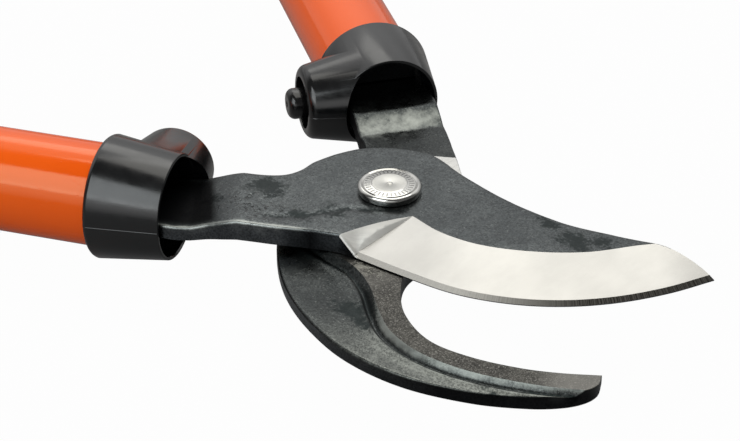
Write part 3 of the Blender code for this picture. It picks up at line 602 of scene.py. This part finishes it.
def build_cutting_blade():
    """Joggled tang, forged face with pits and a fold, plunge, bevel and honed edge."""
    forged, bevelled, honing, plunging, flat_ground, wall = range(6)
    edge = smooth(CUTTING_EDGE[::-1])
    outline = (smooth(on_handle(CUTTING, CUTTING_NECK) + CUTTING_BACK) + smooth(CUTTING_EDGE)[1:]
               + smooth(CUTTING_HEEL + on_handle(CUTTING, CUTTING_TANG)) + tang_tail(CUTTING))
    honed_line = inset(edge, HONED_WIDTH)
    crest = smooth(GRIND_TOP)
    heel, inner = edge[0], honed_line[0]
    shoulder = smooth(PLUNGE_LINE)
    corner = shoulder[-1]
    outward, inward = handle_axes(CUTTING)
    lines = [honed_line, crest, [crest[0], inner, heel], shoulder,
             across_line(outward, GROUND_LIMIT, inward)]
    loops = [inset(outline, -width, closed=True) for width in RIM_LOOPS]
    loops += [ring(HOLE_RADIUS, HOLE_STEPS)]
    flat, faces = fill(outline, loops, lines)

    # The areas of the ground faces, run on past the outline
    ground = crest + [Vector((96, 46))] + inset(edge, -4.0)[::-1] + [heel, inner]
    below = heel + (heel - inner) * 2
    plunge = shoulder + [corner + Vector((0, -4)), below, heel, inner]

    def heights(points):
        """The honed edge, the main bevel and the plunge, as one ground surface."""
        to_edge, run, _ = measure(points, edge)
        to_honed, to_crest = measure(points, honed_line)[0], measure(points, crest)[0]
        share = to_honed / (to_honed + to_crest + 1e-9)
        bevel = HALF_GAP + HONED_HEIGHT + (PLATE - HONED_HEIGHT) * share
        honed = HALF_GAP + EDGE_LAND + (HONED_HEIGHT - EDGE_LAND) * to_edge / HONED_WIDTH
        to_shoulder = measure(points, shoulder)[0]
        to_foot = measure(points, [inner, heel])[0]
        plane = TOP - (PLATE - HONED_HEIGHT) * to_shoulder / (to_shoulder + to_foot + 1e-9)
        face = np.where(to_edge < HONED_WIDTH, np.minimum(honed, bevel), bevel)
        in_ground, in_plunge = inside(points, ground), inside(points, plunge)
        face = np.where(in_ground, face, np.where(in_plunge, plane, np.inf))
        return face, run, to_edge, in_ground, in_plunge

    rim = measure(flat, outline + outline[:1])[0]
    station = station_of(flat, CUTTING)
    pits = spots(flat, CUTTING_PITS)
    crease = measure(flat, FOLD)[0]
    fold = bell(crease, 0, 1.3)
    away = 1 - bell(np.hypot(*flat.T), 0, BOLT_SEAT, 4)
    relief = away * (0.05 * waves(flat, 7.0, 1.5) + 0.03 * waves(flat, 3.0, 4.5))
    relief += pits * PIT_DEPTH * waves(flat, 2.2, 8.5) - FOLD_DEPTH * fold + 0.03 * bell(crease, 2.6, 1.0)
    radius = RIM + 0.12 * waves(flat, 9.0, 2.5)
    rough = TOP + relief - round_off(rim, radius)
    face, run, _, _, _ = heights(flat)
    upper = np.minimum(rough, np.maximum(face, HALF_GAP + EDGE_LAND))
    step = joggle(flat, CUTTING)
    drawn = -step / JOGGLE_RISE
    bottom = HALF_GAP + step + drawn * TAIL_THINNING[1]
    top = upper + step - drawn * TAIL_THINNING[0]

    middle = flat[faces].mean(1)
    _, _, to_edge, in_ground, in_plunge = heights(middle)
    zone = np.where(in_plunge, plunging, forged)
    zone = np.where(in_ground, np.where(to_edge < HONED_WIDTH, honing, bevelled), zone)
    under = np.where(station_of(middle, CUTTING) > GROUND_LIMIT, forged, flat_ground)

    # Painted highlight along the tang's front rim; dark patches in spots and painted shade in the
    # fold; painted shade on the wall beside the hub, and painted shadow where the tang goes into its collar
    across = station_across(flat, CUTTING)
    # Painted highlight: a pale line where the tang's rounded front rim catches the light
    wear_and_highlight = 0.75 * bell(rim, 0.5, 0.55) * part_way(station, 14, 20) * (across < -14)
    # Dark patches in spots, and painted shade darkening the fold's crease
    dark_patches_and_shade = np.maximum(spots(flat, CUTTING_SMOKE), 0.7 * fold)
    # Painted shade on the wall's rim beside the hub, where the tang passes over the hook
    beside_hub = 0.9 * np.clip(1 - np.abs((station - 15) / 9), 0, 1) * bell(rim, 0, 0.1)
    # Painted shadow: the tang goes near black inside the collar's mouth, for the collar's shadow and dark
    # reflection
    in_collar = part_way(station - 0.38 * (across + TUBE_OFFSET), 46.2, 47.8)
    painted_shade = np.maximum(beside_hub, 0.97 * in_collar * (1 - 0.95 * bell(rim, 0, 1.6)))
    marks = {"dark_patches_and_shade": dark_patches_and_shade * (1 - 0.8 * wear_and_highlight), "wear_and_highlight": wear_and_highlight, "run": run, "pitted": pits, "painted_shade": painted_shade}
    return forging("cutting_blade_forging", flat, faces, top, bottom,
                   {"top": zone, "under": under, "wall": wall}, marks,
                   [mats["forged"], mats["bevel"], mats["honed"], mats["plunge"], mats["flat"],
                    mats["side"]])


def build_counter_blade():
    """Joggled tang, bright hub, and the hook with its anvil strip, bead, valley, ridge and land."""
    forged, sanded, polished, wall = range(4)
    outline = (smooth(on_handle(COUNTER, COUNTER_NECK) + COUNTER_BACK)
               + smooth(COUNTER_ANVIL + on_handle(COUNTER, COUNTER_TANG))[1:] + tang_tail(COUNTER))
    strip = smooth(STRIP_LINE)
    length = sum((b - a).length for a, b in zip(strip, strip[1:]))
    knots = np.linspace(0, length, len(VALLEY))
    loops = [inset(outline, width, closed=True) for width in RIM_LOOPS]
    loops += [ring(HOLE_RADIUS, HOLE_STEPS), ring(HUB_RADIUS, HUB_STEPS)]
    lines = [inset(strip, -distance) for distance in STEP_LINES]
    beyond = Vector(POLISH_DIRECTION)
    lines += [across_line(beyond, POLISH_LIMIT, Vector((beyond.y, -beyond.x)))]
    flat, faces = fill(outline, loops, lines)

    def step_down(points):
        """Distance down from the strip, share along it, the valley's distance, and the depth."""
        distance, along, side = measure(points, strip)
        u = np.where(side > 0, -distance, distance)
        valley = np.interp(along, knots, [v[0] for v in VALLEY])
        depth = np.interp(along, knots, [v[1] for v in VALLEY])
        t = np.clip(u / valley, 0, 1)
        bead = -depth * (0.8 * t + 0.2 * t ** 4)
        rise = part_way(u - valley, VALLEY_FLOOR, RIDGE_DISTANCE)
        fall = part_way(u - valley, RIDGE_DISTANCE, LAND_DISTANCE)
        z = bead + (depth - RIDGE_DEPTH) * eased(rise) + (RIDGE_DEPTH - LAND_DEPTH) * eased(fall)
        return u, along / length, valley, np.where(u > 0, z, 0)

    u, share, valley, step = step_down(flat)
    rim = measure(flat, outline + outline[:1])[0]
    station = station_of(flat, COUNTER)
    outer = part_way(u, 4.5, 6.5)
    tang = part_way(station, 20, 30)
    blunt = np.maximum(outer * np.interp(share, [0.55, 0.75], [1, 0.45]), tang)
    radius = CREST_RIM + BLUNT_RIM * blunt * (1 + 0.35 * waves(flat, 4.0, 3.5))
    tip = np.hypot(*(flat - COUNTER_ANVIL[0]).T)
    relief = 0.10 * waves(flat, 8.0, 5.5) + 0.05 * waves(flat, 3.0, 7.5)
    scale = spots(flat, COUNTER_SCALE)
    top = -HALF_GAP + step - round_off(rim, radius) + np.maximum(outer, tang) * (relief - 0.1)
    top += 0.12 * scale * waves(flat, 1.6, 9.5) * (u < 0) - 0.1 * scale
    rise = joggle(flat, COUNTER)
    top += rise
    bottom = -TOP + round_off(rim, RIM) + rise + TIP_RISE * np.exp(-tip / TIP_REACH)

    middle = flat[faces].mean(1)
    near = middle @ np.array(beyond) < POLISH_LIMIT
    hub = (np.hypot(*middle.T) < HUB_RADIUS) | (middle[:, 1] > 0)
    zone = np.where((step_down(middle)[0] < 0) & near, np.where(hub, polished, sanded), forged)
    under = np.full(len(faces), forged)

    # Bright on the bead and the outer land, painted highlight on the ridge, painted reflection in a band of
    # the tang;
    # dark patches in spots, painted shade in the valley and its pocket; painted shade on the wall, most
    # towards the tip and on the tang's inner side
    beyond_valley = u - valley
    # Painted shade along the valley's groove
    groove_shade = bell(beyond_valley, 0.25, 0.32)
    groove_shade = groove_shade * np.interp(share, [0.2, 0.3, 0.4, 0.46, 0.85, 0.95], [0, 1, 0.9, 0.35, 0.45, 1])
    # Painted shade in the valley's pocket
    pocket_shade = bell(u, 2.0, 1.9) * bell(share, 0.42, 0.055)
    bead = bell(u.clip(0), 0, 0.75 * valley, 4)
    bead = bead * np.interp(share, [0.36, 0.44, 0.54, 0.62, 0.7, 0.95], [0, 1.1, 1.1, 0.82, 0.56, 0.5])
    # Painted highlight: a pale line along the ridge
    ridge_highlight = 0.75 * bell(beyond_valley, 1.3, 0.4) * (u > 0) * part_way(share, 0.4, 0.5)
    land = part_way(beyond_valley, 0.6, 1.8)
    land = land * np.interp(share, [0.4, 0.46, 0.54, 0.8, 0.93, 1], [0, 0.2, 1, 1, 0.9, 0.2])
    # Painted reflection: a bright band on the tang's step
    band = 0.52 * bell(station, 46, 5.5)
    wear_and_highlight = np.maximum.reduce([0.85 * bead, ridge_highlight, 0.2 * land, band])
    pale = np.maximum(bead, land) * (1 - bell(beyond_valley, 0.3, 0.35))
    dark_patches_and_shade = np.maximum.reduce([spots(flat, COUNTER_SMOKE), groove_shade * 0.95, pocket_shade])
    # Painted shade on the wall's rim, most towards the tip, and on the tang's inner rim
    painted_shade = np.interp(share, [0.2, 0.45, 0.7, 0.97, 1.0], [0.0, 0.2, 0.9, 0.9, 0.3])
    inner_rim = (station > 34) & (station_across(flat, COUNTER) > -TUBE_OFFSET)
    painted_shade = np.where(inner_rim, 0.9, painted_shade) * bell(rim, 0, 0.1)
    marks = {"dark_patches_and_shade": dark_patches_and_shade, "wear_and_highlight": wear_and_highlight * (1 - dark_patches_and_shade), "pale": pale, "run": share, "pitted": scale,
             "painted_shade": painted_shade}
    return forging("counter_blade_forging", flat, faces, top, bottom,
                   {"top": zone, "under": under, "wall": wall}, marks,
                   [mats["hook"], mats["strip"], mats["flat"], mats["side"]])


# Turned and moulded pieces, in each handle's own frame: Z along the tube, X to the other handle

def handle_matrix(side):
    outward, inward = (axis.to_3d() for axis in handle_axes(side))
    base = Matrix((inward, outward.cross(inward), outward)).transposed().to_4x4()
    base.translation = (inward * -TUBE_OFFSET + Vector((0, 0, SHEAR_HEIGHT))) * MM
    return base


def place_on_handle(piece, side):
    """The piece's mesh moved from its own frame to the handle's place; a mark keeps the local
    coordinates for the materials."""
    piece.data.transform(piece.matrix_basis)
    piece.matrix_basis = Matrix()
    where = np.empty(3 * len(piece.data.vertices), np.float32)
    piece.data.vertices.foreach_get("co", where)
    mark = piece.data.attributes.new("local", 'FLOAT_VECTOR', 'POINT')
    mark.data.foreach_set("vector", where)
    piece.data.transform(handle_matrix(side))
    return piece


def arc(centre, radius, start, end, steps):
    angles = [radians(start + (end - start) * i / steps) for i in range(steps + 1)]
    return [(centre[0] + radius * cos(a), centre[1] + radius * sin(a)) for a in angles]


def turned(name, profile, mat=None, steps=96):
    """A profile of (radius, height) in millimetres, run down the outer side, turned about Z."""
    mesh = bpy.data.meshes.new(name)
    edges = [(i, i + 1) for i in range(len(profile) - 1)]
    if profile[0][0] > 0:
        edges.append((len(profile) - 1, 0))
    mesh.from_pydata([(r * MM, 0, h * MM) for r, h in profile], edges, [])
    if mat:
        mesh.materials.append(mat)
    obj = bpy.data.objects.new(name, mesh)
    bpy.context.scene.collection.objects.link(obj)
    screw = obj.modifiers.new("Turn", 'SCREW')
    screw.steps = screw.render_steps = steps
    screw.use_merge_vertices = True
    screw.merge_threshold = 0.00001
    return obj


def apply(obj, sharp_angle=30):
    """The object's evaluated mesh in place of its modifiers, without slivers and with smooth faces."""
    bpy.context.view_layer.update()
    mesh = bpy.data.meshes.new_from_object(obj.evaluated_get(bpy.context.evaluated_depsgraph_get()))
    obj.modifiers.clear()
    obj.data = mesh
    clean = bmesh.new()
    clean.from_mesh(mesh)
    bmesh.ops.dissolve_degenerate(clean, dist=SLIVER * MM, edges=clean.edges)
    clean.to_mesh(mesh)
    clean.free()
    mesh.shade_smooth()
    mesh.set_sharp_from_angle(angle=radians(sharp_angle))
    return obj


def cylinder(name, radius, low, high):
    return turned(name, [(0, high), (radius, high), (radius, low), (0, low)])


def box(name, size, centre):
    mesh = bpy.data.meshes.new(name)
    x, y, z = (s / 2 for s in size)
    corners = [(sx * x, sy * y, sz * z) for sx in (-1, 1) for sy in (-1, 1) for sz in (-1, 1)]
    faces = [(0, 1, 3, 2), (4, 6, 7, 5), (0, 4, 5, 1), (2, 3, 7, 6), (0, 2, 6, 4), (1, 5, 7, 3)]
    mesh.from_pydata([tuple((Vector(c) + Vector(centre)) * MM) for c in corners], [], faces)
    obj = bpy.data.objects.new(name, mesh)
    bpy.context.scene.collection.objects.link(obj)
    return obj


def combine(obj, steps):
    """Booleans in order, as (operation, cutter), applied at once; the cutters go."""
    for operation, cutter in steps:
        mod = obj.modifiers.new(cutter.name, 'BOOLEAN')
        mod.operation = operation
        mod.object = cutter
        mod.solver = 'EXACT'
    apply(obj)
    for _, cutter in steps:
        bpy.data.objects.remove(cutter)
    return obj


# Stations and radii of the collar; heights of its boss, recess and buffer over the tube's axis
COLLAR_FRONT, COLLAR_REAR = 58.3, 80.5
COLLAR_FRONT_RADIUS, COLLAR_REAR_RADIUS, COLLAR_LIP, COLLAR_ROUND = 15.5, 18.1, 0.35, 1.8
BOSS_STATION, BOSS_FACE, BOSS_RADIUS, BOSS_ROUND, BOSS_TAPER = 67.2, 25.4, 11.6, 2.8, 0.21
RECESS_RADIUS, RECESS_FLOOR = 8.0, 16.1
BUFFER_TIP, BUFFER_RADIUS, BUFFER_ROUND = 30.1, 4.8, 2.2


def sideways(obj):
    """A piece turned about Z, laid along the boss's axis."""
    obj.location.z = BOSS_STATION * MM
    obj.rotation_euler.y = pi / 2
    return obj


def build_collar(name):
    """Tapered collar with a side boss, bored for the tube, open in front and slotted for the tang."""
    profile = [(0, COLLAR_REAR)]
    profile += arc((COLLAR_REAR_RADIUS - COLLAR_ROUND, COLLAR_REAR - COLLAR_ROUND), COLLAR_ROUND, 90, 5, 10)
    profile += arc((COLLAR_FRONT_RADIUS - COLLAR_LIP, COLLAR_FRONT + COLLAR_LIP), COLLAR_LIP, -5, -90, 5)
    profile += [(0, COLLAR_FRONT)]
    body = turned(name, profile, mats["collar"], steps=128)
    start = BOSS_FACE - BOSS_ROUND
    profile = [(0, BOSS_FACE)] + arc((BOSS_RADIUS - BOSS_ROUND, start), BOSS_ROUND, 90,
                                     degrees(atan(BOSS_TAPER)), 10)
    profile += [(BOSS_RADIUS + BOSS_TAPER * start, 0), (0, 0)]
    boss = sideways(turned(name + "_boss", profile))
    stop = TUBE_START - CLEARANCE
    mouth, cut, past = COLLAR_FRONT_RADIUS - 1.1, 0.3, COLLAR_FRONT - 15
    cup = [(0, stop - 2.0), (mouth - 1.2, stop - 2.0), (mouth, stop - 3.2), (mouth, COLLAR_FRONT + cut),
           (mouth + cut, COLLAR_FRONT - 0.1), (mouth + cut, past), (0, past)]
    recess = [(0, BOSS_FACE + 1), (RECESS_RADIUS + cut, BOSS_FACE + 1), (RECESS_RADIUS, BOSS_FACE - 0.4),
              (RECESS_RADIUS, RECESS_FLOOR), (0, RECESS_FLOOR)]
    return combine(body, [
        ('UNION', boss),
        ('DIFFERENCE', box(name + "_rear", (120, 120, 15), (0, 0, COLLAR_REAR + 7.5))),
        ('DIFFERENCE', cylinder(name + "_socket", TUBE_RADIUS + CLEARANCE, stop, COLLAR_REAR + 2)),
        ('DIFFERENCE', turned(name + "_cup", cup)),
        ('DIFFERENCE', box(name + "_slot", (22.6, 6.6, 6), (0, 0, stop - 1))),
        ('DIFFERENCE', sideways(turned(name + "_recess", recess)))])


def build_buffer(name):
    """Flange in the recess, waisted stem and a rounded tip with a dimple."""
    base = RECESS_FLOOR + CLEARANCE
    top = base + 3.0
    flange = RECESS_RADIUS - CLEARANCE
    stem = BUFFER_RADIUS
    profile = [(0, BUFFER_TIP - 0.8), (0.5, BUFFER_TIP - 0.75), (0.8, BUFFER_TIP - 0.3), (1.1, BUFFER_TIP)]
    profile += arc((stem - BUFFER_ROUND, BUFFER_TIP - BUFFER_ROUND), BUFFER_ROUND, 90, 0, 12)
    profile += [(stem, top + 3.0), (stem - 0.25, top + 2.2)]
    profile += arc((stem + 0.45, top + 0.7), 0.7, 180, 270, 5)
    profile += arc((flange - 0.4, top - 0.4), 0.4, 90, 0, 4) + [(flange, base), (0, base)]
    return apply(sideways(turned(name, profile, mats["buffer"], steps=72)), sharp_angle=40)


def build_tube(name):
    """Steel tube with chamfered ends."""
    cut = 0.35
    profile = [(TUBE_BORE, TUBE_END), (TUBE_RADIUS - cut, TUBE_END), (TUBE_RADIUS, TUBE_END - cut),
               (TUBE_RADIUS, TUBE_START + cut), (TUBE_RADIUS - cut, TUBE_START), (TUBE_BORE, TUBE_START)]
    return apply(turned(name, profile, mats["paint"], steps=128))


def build_grip(name):
    """Slip-on grip: guard lip, rounded ribs and a swelling closed end with a moulded ring."""
    bore, outer, flare = 15.4, 17.7, 20.8
    ribs, rib_spacing, rib_height = 7, 13.0, 0.9
    tube_end = TUBE_END + CLEARANCE
    end = tube_end + 5.0
    front = end - 165.0
    profile = [(0, end), (6.0, end), (6.4, end - 0.5), (7.2, end - 0.5), (7.6, end)]
    profile += arc((flare - 5.0, end - 5.0), 5.0, 90, 0, 10)
    profile += [(flare, end - 12), (flare - 0.5, end - 16), (outer + 1.6, end - 21), (outer + 0.4, end - 26),
                (outer, end - 30)]
    for i in range(ribs):
        middle = end - 38.0 - i * rib_spacing
        profile += [(outer + rib_height * (0.5 + 0.5 * cos(pi * t)), middle - 3.0 * t)
                    for t in (-1, -0.66, -0.33, 0, 0.33, 0.66, 1)]
    profile += [(outer, front + 8.0), (outer + 1.44, front + 5.0)]
    profile += arc((flare - 1.25, front + 1.25), 1.25, 80, -90, 8)
    profile += [(bore + 0.4, front), (bore, front + 0.4), (bore, tube_end), (0, tube_end)]
    return apply(turned(name, profile, mats["grip"]), sharp_angle=50)


def build_bolt():
    """Pivot bolt: head with a dished band, a nub at the centre and a threaded lower end."""
    base = TOP + 0.1
    top = base + 2.8
    radius, rim, shank, thread = 9.1, 1.1, 5.0, 0.6
    profile = [(0, top + 0.02), (0.45, top), (0.7, top - 0.15), (0.95, top - 0.3), (1.3, top - 0.18),
               (4.7, top), (4.95, top - 0.02), (5.1, top - 0.14), (5.3, top - 0.2), (7.3, top - 0.2),
               (7.5, top - 0.3), (7.62, top - 0.5), (7.78, top - 0.42)]
    profile += arc((radius - rim, top - 0.2 - rim), rim, 82, 0, 10)
    profile += [(radius, base + 0.75), (radius - 0.12, base + 0.65), (radius - 0.12, base + 0.5),
                (radius - 0.35, base + 0.06), (radius - 0.5, base)]
    low = -SHEAR_HEIGHT
    profile += [(shank, base), (shank, low + 3.5)]
    profile += [(shank - (thread if i % 2 else 0.0), low + 3.2 - 0.5 * i) for i in range(5)]
    profile += [(4.2, low), (0, low)]
    bolt = turned("bolt", profile, mats["bolt"], steps=128)
    bolt.location.z = SHEAR_HEIGHT * MM
    return apply(bolt, sharp_angle=35)


# Stage, light and camera

def build_stage(floor_height):
    """Pale floor, white to the camera apart from the object's faint shadow."""
    mesh = bpy.data.meshes.new("floor")
    mesh.from_pydata([(x, y, floor_height) for x, y in ((-6, -6), (6, -6), (6, 6), (-6, 6))], [],
                     [(0, 1, 2, 3)])
    floor = bpy.data.objects.new("floor", mesh)
    bpy.context.scene.collection.objects.link(floor)
    s = Surface("floor_white")
    s.set("Base Color", (0.22, 0.22, 0.22))
    s.set("Roughness", 0.9)
    s.set("Specular IOR Level", 0.0)
    rays = s.tree.nodes.new("ShaderNodeLightPath").outputs
    seen = s.times(rays["Is Camera Ray"], 0.98)
    reflected = s.plus(rays["Is Glossy Ray"], rays["Is Transmission Ray"])
    share = s.plus(seen, s.times(reflected, 0.07))
    glow = s.node("ShaderNodeEmission", "Emission", {"Color": (1.0, 1.0, 1.0), "Strength": 1.0})
    both = s.node("ShaderNodeMixShader", "Shader", {0: share, 1: s.shader.outputs[0], 2: glow})
    s.tree.links.new(both, s.tree.nodes["Material Output"].inputs["Surface"])
    mesh.materials.append(s.material)


def lamp(name, place, size, radiance, tint, level=False):
    """A soft panel at a place in metres, level or turned to the pivot, of a brightness as seen."""
    data = bpy.data.lights.new(name, 'AREA')
    data.shape = 'RECTANGLE'
    data.size, data.size_y = size
    data.energy = radiance * pi * size[0] * size[1]
    data.color = tint
    obj = bpy.data.objects.new(name, data)
    bpy.context.scene.collection.objects.link(obj)
    obj.location = place
    if not level:
        obj.rotation_euler = Vector(place).to_track_quat('Z', 'Y').to_euler()
    obj.visible_camera = False


def build_light():
    """Warm panels above and behind, a cool one at the side, and a wall's light around each."""
    warm, cool = (1.0, 0.985, 0.93), (0.93, 0.985, 1.0)
    lamp("back_panel", (-0.10, 0.26, 0.78), (0.68, 0.66), 2.35, warm, level=True)
    lamp("back_panel_left", (-0.71, 0.41, 0.78), (0.54, 0.42), 1.65, warm, level=True)
    lamp("side_panel", (0.07, -0.62, 0.50), (0.60, 0.50), 3.5, cool)

    # The world: a wall's light behind, another beside, both by height, and a dim rest
    world = bpy.data.worlds.new("studio")
    bpy.context.scene.world = world
    world.use_nodes = True
    s = Nodes(world.node_tree)
    direction = s.tree.nodes.new("ShaderNodeTexCoord").outputs["Generated"]
    x, y, z = (s.axis(direction, i) for i in range(3))
    behind = s.ramp(s.plus(s.times(x, -0.71), s.times(y, 0.70)), 0.0, 0.5)
    wall = s.times(behind, s.ramp(z, 0.22, 0.62, 0.66, 1.3), s.ramp(z, 0.97, 0.86))
    beside = s.ramp(s.plus(s.times(x, 0.32), s.times(y, -0.95)), 0.45, 0.95)
    side = s.times(beside, s.ramp(z, 0.55, 0.35), s.ramp(z, -0.1, 0.3, 0.4, 1.5))
    strength = s.math('MAXIMUM', s.math('MAXIMUM', wall, side), 0.16)
    rays = s.tree.nodes.new("ShaderNodeLightPath").outputs
    seen = s.node("ShaderNodeBackground", 0, {"Color": (1.0, 1.0, 1.0), "Strength": 1.0})
    light = s.node("ShaderNodeBackground", 0, {"Color": (1.0, 1.0, 1.0), "Strength": strength})
    both = s.node("ShaderNodeMixShader", 0, {0: rays["Is Camera Ray"], 1: light, 2: seen})
    s.tree.links.new(both, s.tree.nodes["World Output"].inputs["Surface"])


def build_camera():
    """The photograph's view: place, direction and lens."""
    data = bpy.data.cameras.new("camera")
    data.sensor_width = 36.0
    data.lens = 113.2
    data.clip_start = 0.01
    camera = bpy.data.objects.new("camera", data)
    bpy.context.scene.collection.objects.link(camera)
    back = Vector((0.60827, -0.58975, 0.53123)).normalized()
    right = Vector((0, 0, 1)).cross(back).normalized()
    pose = Matrix((right, back.cross(right), back)).transposed().to_4x4()
    pose.translation = Vector((400.24, -395.74, 349.26 + SHEAR_HEIGHT)) * MM
    camera.matrix_world = pose
    bpy.context.scene.camera = camera
    bpy.context.scene.view_settings.view_transform = 'Standard'


mats = {
    "forged": forged_steel("forged_scale", (0.068, 0.075, 0.077), (0.100, 0.109, 0.110),
                           (0.30, 0.315, 0.30), 0.22),
    "hook": forged_steel("forged_hook_scale", (0.037, 0.041, 0.041), (0.058, 0.063, 0.062),
                         (0.27, 0.285, 0.265), 0.26, 0.08),
    "side": forged_steel("forged_side_scale", (0.075, 0.081, 0.088), (0.128, 0.138, 0.148),
                         (0.22, 0.23, 0.23), 0.12, 0.1),
    "bevel": ground_steel("ground_bevel", (0.365, 0.358, 0.342), 0.36, (260, 90, 400), 0.002, 0.04),
    # The plunge's colour carries painted shade along Y
    "plunge": ground_steel("ground_plunge", (0.83, 0.822, 0.79), 0.68, (1400, 90, 500), 0.012, 0.1,
                           turn=35.0, painted_dim=(-23.0, -9.0, 0.55)),
    "flat": ground_steel("ground_flat", (0.55, 0.545, 0.522), 0.3, (900, 60, 200), 0.004, 0.12),
    "honed": honed_edge(),
    "strip": anvil_strip(),
    "bolt": plated_head(),
    "steel": zinc_steel(),
    "paint": orange_paint(),
    "collar": moulded("collar_plastic", (0.0020, 0.0022, 0.0025), 0.18, 0.008, 0.004, specular=0.56),
    "nylon": moulded("liner_nylon", (0.008, 0.008, 0.008), 0.5, 0.004, 0.004, parting=False, place=None),
    "buffer": moulded("buffer_rubber", (0.003, 0.003, 0.0032), 0.2, 0.0, 0.003, parting=False),
    "grip": moulded("grip_vinyl", (0.012, 0.012, 0.012), 0.48, 0.0, 0.03),
}

# Every piece with the node that it replaces, its body and its slot
pieces = [(build_cutting_blade(), "cutting_blade", "cutting_side", "forged"),
          (build_counter_blade(), "counter_blade", "counter_side", "forged_hook"),
          (build_bolt(), "pivot_bolt", "counter_side", "plated")]
on_each_handle = [(build_tube, "handle_tube", "paint"),
                  (build_collar, "collar", "collar_plastic"),
                  (build_buffer, "buffer", "buffer_rubber"),
                  (build_grip, "grip", "grip_vinyl")]
for side, word, body in ((CUTTING, "right", "cutting_side"), (COUNTER, "left", "counter_side")):
    for build, node, slot in on_each_handle:
        piece = place_on_handle(build(word + "_" + node + "_fine"), side)
        pieces.append((piece, word + "_" + node, body, slot))
    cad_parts[word + "_tang_pin"].data.materials[0] = mats["steel"]
    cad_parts[word + "_tang_liner"].data.materials[0] = mats["nylon"]
for node in ("pivot_washer", "pivot_nut"):
    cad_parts[node].data.materials[0] = mats["steel"]
for piece, node, body, slot in pieces:
    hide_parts(node)
    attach(piece, body)

build_stage(cad_box[0][2] - 0.2 * MM)
build_light()
build_camera()
